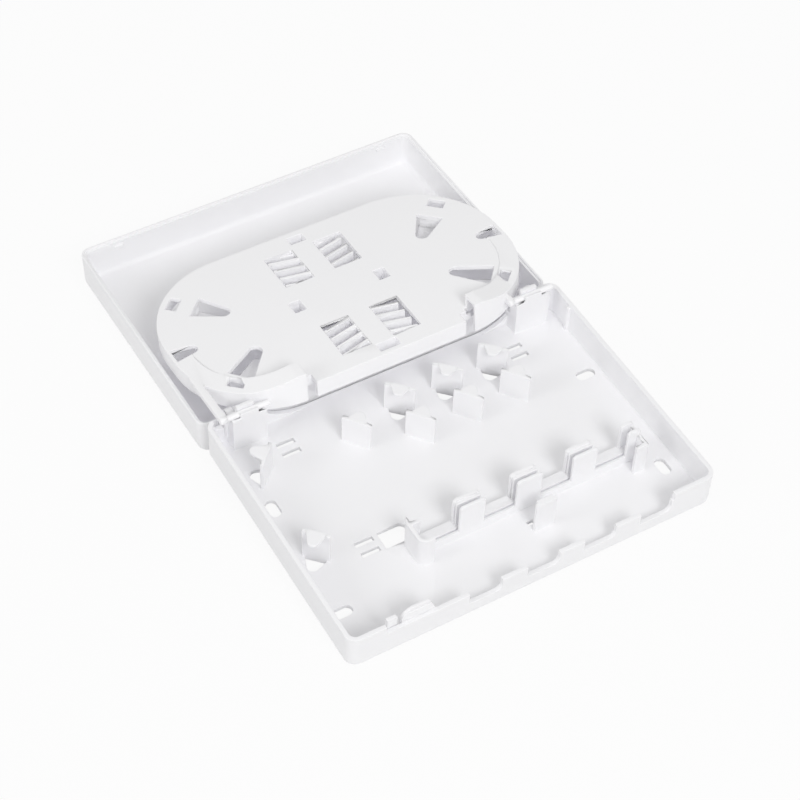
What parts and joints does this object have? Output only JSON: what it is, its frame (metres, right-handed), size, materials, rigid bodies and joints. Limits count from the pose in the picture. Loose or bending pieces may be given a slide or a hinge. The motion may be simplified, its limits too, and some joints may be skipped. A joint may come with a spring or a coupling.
{
  "type": "fibre termination box",
  "caption": "Flat white wall box for fibre: base with adapter rack and fibre hooks, plain hinged cover, and a hinged stadium-shaped splice tray, shown opened.",
  "frame": {"origin": "centre of the base's flat underside, which lies on the wall", "axes": "+X along the hinges, +Y from the port side to the hinge side, +Z out of the wall"},
  "size_m": [0.1536, 0.2243, 0.0387],
  "materials": {
    "base_plastic": "satin moulded ABS, white",
    "cover_plastic": "satin moulded ABS, white",
    "tray_plastic": "satin moulded ABS, white"
  },
  "bodies": {
    "base": {"base": "base_plastic"},
    "cover": {"cover": "cover_plastic"},
    "tray": {"splice_tray": "tray_plastic"}
  },
  "joints": [
    {"name": "cover_hinge", "type": "hinge", "parent": "base", "child": "cover", "pos_m": [0, 0.0568, 0.0128], "axis": [1, 0, 0], "range_deg": [0, 183.34]},
    {"name": "tray_hinge", "type": "hinge", "parent": "base", "child": "tray", "pos_m": [0, 0.0503, 0.01865], "axis": [1, 0, 0], "range_deg": [0, 184.9]}
  ],
  "couplings": [
    {"joint": "tray_hinge", "follows": "cover_hinge", "ratio": 1.008}
  ]
}
